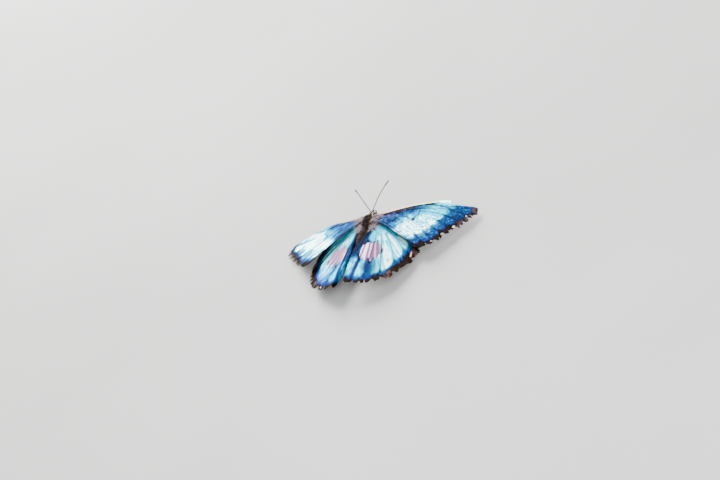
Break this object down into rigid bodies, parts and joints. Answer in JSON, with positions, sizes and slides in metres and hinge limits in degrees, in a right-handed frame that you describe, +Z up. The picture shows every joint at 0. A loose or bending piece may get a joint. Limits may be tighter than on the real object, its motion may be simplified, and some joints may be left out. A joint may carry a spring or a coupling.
{
  "type": "blue morpho butterfly",
  "caption": "Life-size still model of a blue morpho butterfly standing on its legs with worn, torn-edged iridescent blue wings spread and drooping",
  "frame": {"origin": "on the floor, under the middle of the model's bounding box", "axes": "+X to the butterfly's own right, +Y towards its head, +Z up away from the floor"},
  "size_m": [0.137, 0.0832, 0.0236],
  "materials": {
    "wing_scales": "thin membrane covered in iridescent blue scales, bald in places",
    "body_fur": "brown-black cuticle under fine hair and scales",
    "eye": "glossy dark compound eye",
    "chitin": "dark satin cuticle"
  },
  "bodies": {
    "root": {"forewing_left": "wing_scales", "forewing_right": "wing_scales", "hindwing_left": "wing_scales", "hindwing_right": "wing_scales", "head": "body_fur", "thorax": "body_fur", "abdomen": "body_fur", "palp_left": "body_fur", "palp_right": "body_fur", "eye_left": "eye", "eye_right": "eye", "antenna_left": "chitin", "antenna_right": "chitin", "proboscis": "chitin", "foreleg_left": "chitin", "foreleg_right": "chitin", "midleg_left": "chitin", "midleg_right": "chitin", "hindleg_left": "chitin", "hindleg_right": "chitin"}
  },
  "joints": []
}
